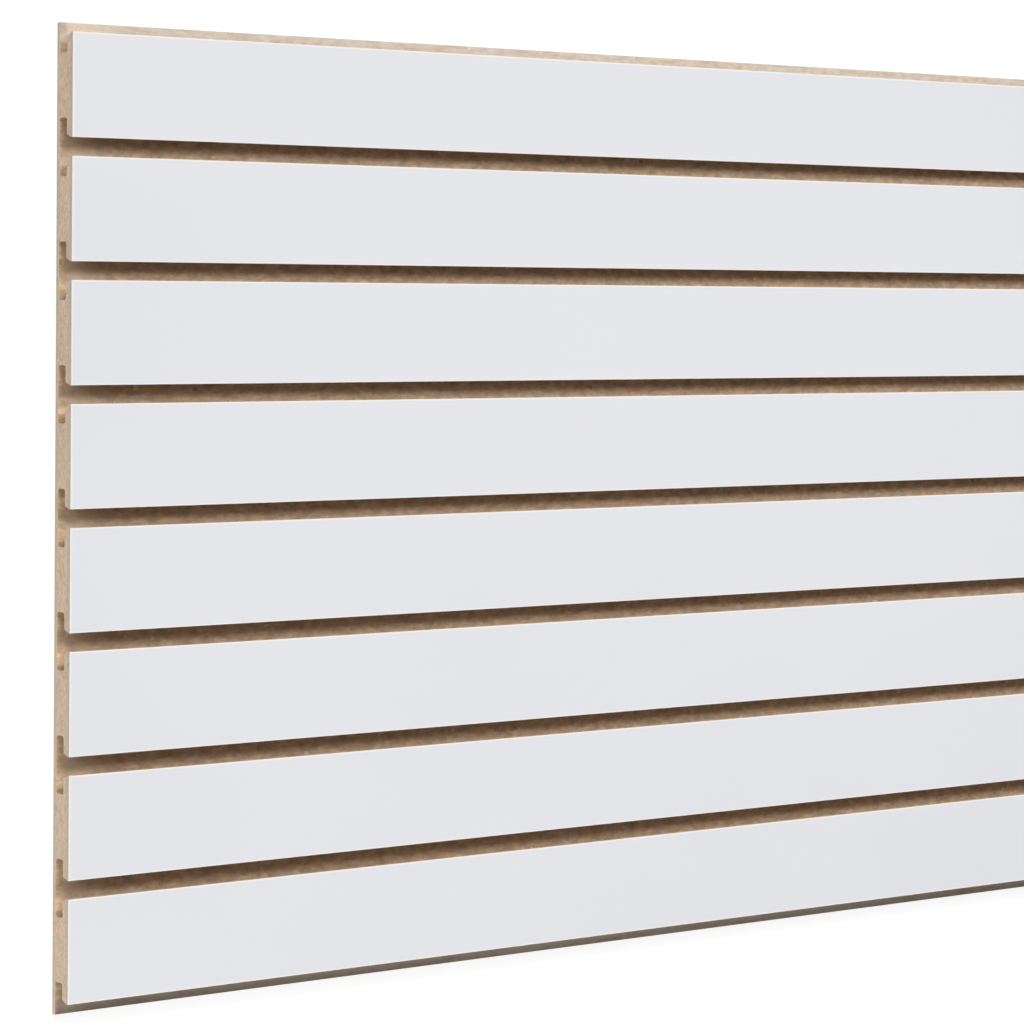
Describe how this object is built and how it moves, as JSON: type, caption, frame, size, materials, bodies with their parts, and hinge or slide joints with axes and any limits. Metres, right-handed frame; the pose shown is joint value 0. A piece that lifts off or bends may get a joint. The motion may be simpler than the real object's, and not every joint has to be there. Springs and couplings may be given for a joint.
{
  "type": "grooved panel",
  "caption": "White-faced fibreboard wall panel with T grooves along its length and half a groove at each long edge, for hanging display hooks and brackets.",
  "frame": {"origin": "middle of the back face, which the panel lies on", "axes": "+X along the grooves, +Y to the edge that hangs uppermost, +Z out of the white face"},
  "size_m": [1.2192, 0.6114, 0.0191],
  "materials": {
    "raw_board": "matte",
    "white_laminate": "satin"
  },
  "bodies": {
    "root": {"core_board": "raw_board", "face_strip_1": "white_laminate", "face_strip_2": "white_laminate", "face_strip_3": "white_laminate", "face_strip_4": "white_laminate", "face_strip_5": "white_laminate", "face_strip_6": "white_laminate", "face_strip_7": "white_laminate", "face_strip_8": "white_laminate"}
  },
  "joints": []
}
